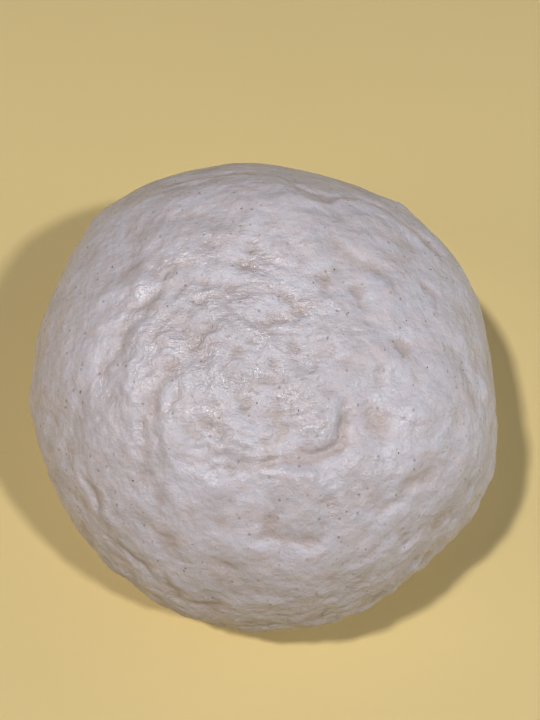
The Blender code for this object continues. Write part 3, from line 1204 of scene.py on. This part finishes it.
@dataclass
class BranFlecks:
    """Flakes of bran that lie in the skin.

    Attributes:
        finish: The bran's finish.
        count: How many there are.
        breadth: The smallest and largest flake's half-length, in millimetres.
        slimmest: The slimmest flake's width, as a share of its length.
        thickness: A flake's thickness, as a share of its length.
        sunk: How deep a flake's middle lies, as a share of its half-thickness.
        lowest: Flakes lie only where the skin is this far above the floor, in millimetres.
        seed: Chooses where they lie.
    """

    finish: BranFinish
    count: int = 240
    breadth: tuple[float, float] = (0.16, 0.36)
    slimmest: float = 0.6
    thickness: float = 0.30
    sunk: float = 0.55
    lowest: float = 1.5
    seed: int = 41

    def build(self, skin: bpy.types.Object) -> bpy.types.Object:
        """Scatters the flakes over the skin.

        Args:
            skin: The piece that they lie in.

        Returns:
            The finished piece, all flakes in one mesh.
        """
        middles, normals = self._places(skin.data)
        draw = np.random.default_rng(self.seed + 1)
        shape = bmesh.new()
        for middle, normal in zip(middles, normals):
            half = draw.uniform(*self.breadth) * MM
            slimness = draw.uniform(self.slimmest, 1.0)
            spin = Matrix.Rotation(draw.uniform(0.0, math.tau), 4, "Z")
            lay_flat = Vector(normal).to_track_quat("Z", "Y").to_matrix().to_4x4()
            size = Matrix.Diagonal((half, half * slimness, half * self.thickness, 1.0))
            sink = Vector(normal) * half * self.thickness * self.sunk
            place = Matrix.Translation(Vector(middle) - sink) @ lay_flat @ spin @ size
            bmesh.ops.create_icosphere(shape, subdivisions=1, radius=1.0, matrix=place)
        piece = new_object(Piece.FLECKS, shape)
        piece.data.materials.append(self.finish.material())
        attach(piece, Part.BODY.value)
        return piece

    def _places(self, mesh: bpy.types.Mesh) -> tuple[Array, Array]:
        """Where the flakes lie, evenly over the skin's area.

        Args:
            mesh: The skin's mesh.

        Returns:
            Their middles and the directions in which the skin faces there.
        """
        count = len(mesh.polygons)
        middles, normals, areas = np.empty(count * 3), np.empty(count * 3), np.empty(count)
        mesh.polygons.foreach_get("center", middles)
        mesh.polygons.foreach_get("normal", normals)
        mesh.polygons.foreach_get("area", areas)
        middles, normals = middles.reshape(-1, 3), normals.reshape(-1, 3)
        chances = np.where(middles[:, 2] > self.lowest * MM, areas, 0.0)
        draw = np.random.default_rng(self.seed)
        chosen = draw.choice(count, self.count, replace=False, p=chances / chances.sum())
        return middles[chosen], normals[chosen]


# ---------------------------------------------------------------- studio


@dataclass
class Floor:
    """A wide level floor under the dough.

    Attributes:
        finish: Its finish.
        half_width: Half its width, in metres.
        gap: How far it lies under the foot, in metres, so that the two faces don't coincide.
    """

    finish: FloorFinish
    half_width: float = 3.0
    gap: float = 0.00005

    def build(self) -> bpy.types.Object:
        """Lays the floor.

        Returns:
            The floor.
        """
        shape = bmesh.new()
        bmesh.ops.create_grid(shape, x_segments=1, y_segments=1, size=self.half_width)
        bmesh.ops.translate(shape, vec=(0.0, 0.0, -self.gap), verts=shape.verts)
        floor = new_object(Piece.FLOOR, shape)
        floor.data.materials.append(self.finish.material())
        return floor


@dataclass(frozen=True)
class Lamp:
    """A square lamp that faces the dough: the way to it, how wide it is, in metres, and its watts."""

    name: str
    towards: tuple[float, float, float]
    width: float
    watts: float
    colour: tuple[float, float, float]

    def build(self, distance: float) -> bpy.types.Object:
        """Hangs the lamp.

        Args:
            distance: How far from the dough, in metres.

        Returns:
            The lamp.
        """
        light = bpy.data.lights.new(self.name, "AREA")
        light.size = self.width
        light.energy = self.watts
        light.color = self.colour
        lamp = bpy.data.objects.new(self.name, light)
        way = Vector(self.towards).normalized()
        lamp.location = way * distance
        lamp.rotation_euler = (-way).to_track_quat("-Z", "Y").to_euler()
        bpy.context.scene.collection.objects.link(lamp)
        return lamp


@dataclass
class Studio:
    """The light: two small lamps that cast the two shadows, two wide soft ones, and a dim cool room.

    Attributes:
        lamps: The lamps.
        distance: How far from the dough they hang, in metres.
        room_colour, room_strength: The light from all round.
        gamma: Under 1, it deepens the picture's darker tones.
    """

    lamps: tuple[Lamp, ...] = (
        Lamp("right_lamp", (0.63, -0.38, 1.0), 0.10, 9.2, (0.96, 0.98, 1.0)),
        Lamp("left_lamp", (-0.39, -0.07, 1.0), 0.10, 12.3, (0.97, 0.98, 1.0)),
        Lamp("near_lamp", (-1.0, -0.35, 0.75), 0.60, 2.0, (1.0, 0.95, 0.87)),
        Lamp("window", (1.0, 0.1, 0.20), 1.2, 6.6, (0.76, 0.89, 1.0)),
    )
    distance: float = 1.5
    room_colour: Color = (0.68, 0.74, 1.0, 1.0)
    room_strength: float = 0.06
    gamma: float = 0.72

    def build(self) -> None:
        """Hangs the lamps and fills the room with dim light."""
        for lamp in self.lamps:
            lamp.build(self.distance)
        world = bpy.data.worlds.new("room")
        world.use_nodes = True
        background = world.node_tree.nodes["Background"]
        background.inputs["Color"].default_value = self.room_colour
        background.inputs["Strength"].default_value = self.room_strength
        bpy.context.scene.world = world
        bpy.context.scene.view_settings.view_transform = "Standard"
        bpy.context.scene.view_settings.gamma = self.gamma


@dataclass(frozen=True)
class PhotoCamera:
    """The camera, steeply above the near side of the dough.

    Attributes:
        distance: From the middle of the foot, in metres.
        elevation: Above the floor, seen from there, in degrees.
        tilt: Below the horizon, in degrees.
        aside: How far it stands to the right, in metres.
        lens: Its lens, on a sensor 36 mm long, in millimetres.
    """

    distance: float = 0.3202
    elevation: float = 68.0
    tilt: float = 64.51
    aside: float = 0.00227
    lens: float = 50.0

    SENSOR_WIDTH = 36.0
    NEAREST = 0.01

    def build(self) -> bpy.types.Object:
        """Sets the camera up.

        Returns:
            The camera.
        """
        data = bpy.data.cameras.new("photo_camera")
        data.lens = self.lens
        data.sensor_width = self.SENSOR_WIDTH
        data.clip_start = self.NEAREST
        camera = bpy.data.objects.new("photo_camera", data)
        rise = math.radians(self.elevation)
        camera.location = (self.aside, -self.distance * math.cos(rise), self.distance * math.sin(rise))
        camera.rotation_euler = Euler((math.pi / 2 - math.radians(self.tilt), 0.0, 0.0))
        bpy.context.scene.collection.objects.link(camera)
        bpy.context.scene.camera = camera
        return camera


def report(piece: bpy.types.Object) -> None:
    """Logs a finished piece."""
    piece.data.calc_loop_triangles()
    LOG.info("%s: %d triangles", piece.name, len(piece.data.loop_triangles))


def main() -> None:
    """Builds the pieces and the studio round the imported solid."""
    logging.basicConfig(level=logging.INFO, format="%(name)s: %(message)s")
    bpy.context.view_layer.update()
    PhotoCamera().build()
    Studio().build()
    report(Floor(FloorFinish()).build())
    skin = DoughSkin(DoughForm(), DoughFinish()).build(Part.SOLID.value)
    report(skin)
    report(BranFlecks(BranFinish()).build(skin))


if __name__ == "__main__":
    main()
